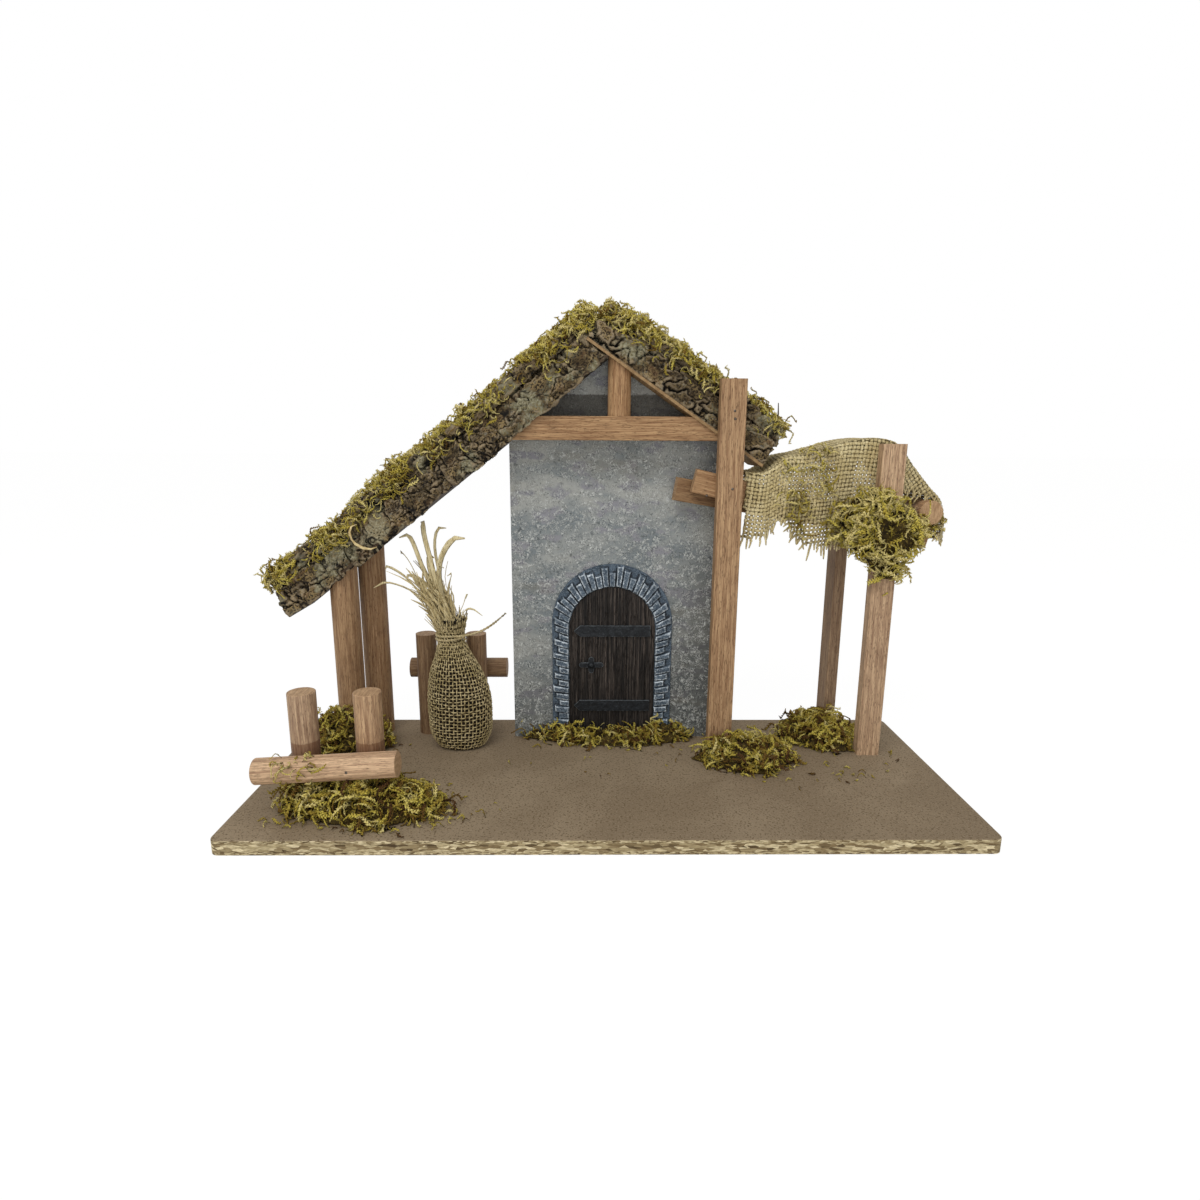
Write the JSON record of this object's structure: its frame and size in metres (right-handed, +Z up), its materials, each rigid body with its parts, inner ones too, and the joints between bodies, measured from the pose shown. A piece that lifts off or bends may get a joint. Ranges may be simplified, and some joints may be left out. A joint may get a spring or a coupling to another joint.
{
  "type": "wooden nativity stable",
  "caption": "Rustic open stable on a flat base: gabled back panel with an arched door, bark roof with moss, cloth awning, small fences and a straw sack",
  "frame": {"origin": "middle of the underside of the base board", "axes": "X runs right along the front edge, Y runs back, Z runs up"},
  "size_m": [0.4212, 0.1601, 0.2815],
  "materials": {
    "chipboard": "painted khaki-brown top, bare flecked edge",
    "nail_steel": "plain wire nails",
    "painted_panel": "blue-grey stippled paint",
    "cast_stone": "slate-coloured resin, dry-brushed pale",
    "door_resin": "dark brown painted planks",
    "black_iron": "black painted resin",
    "stained_lath": "brown stained pine",
    "stained_dowel": "brown stained beech",
    "roof_ply": "thin raw board",
    "bark": "rough dark bark with lichen",
    "moss": "dried moss",
    "burlap": "coarse open weave",
    "straw": "dry straw and raffia",
    "twine": "jute twine"
  },
  "bodies": {
    "root": {"base_board": "chipboard", "base_nails": "nail_steel", "back_panel": "painted_panel", "door_arch": "cast_stone", "door_leaf": "door_resin", "door_strap_upper": "black_iron", "door_strap_lower": "black_iron", "door_latch": "black_iron", "tie_beam": "stained_lath", "king_post": "stained_lath", "tall_post": "stained_lath", "left_post_front": "stained_dowel", "left_post_back": "stained_dowel", "roof_board_left": "roof_ply", "roof_board_right": "roof_ply", "bark_left_upper": "bark", "bark_left_middle": "bark", "bark_left_eave": "bark", "bark_right": "bark", "moss_roof_left": "moss", "moss_roof_right": "moss", "awning_rail_front": "stained_lath", "awning_rail_back": "stained_lath", "awning_cross_dowel": "stained_dowel", "awning_post_front": "stained_lath", "awning_post_back": "stained_lath", "awning_cloth": "burlap", "moss_awning_joint": "moss", "fence_post_left": "stained_dowel", "fence_post_right": "stained_dowel", "fence_rail": "stained_dowel", "rear_fence_post_left": "stained_dowel", "rear_fence_post_right": "stained_dowel", "rear_fence_rail": "stained_dowel", "sack": "burlap", "straw_sheaf": "straw", "sack_tie": "twine", "moss_fence": "moss", "moss_left_posts": "moss", "moss_door": "moss", "moss_tall_post": "moss", "moss_awning_posts": "moss"}
  },
  "joints": []
}
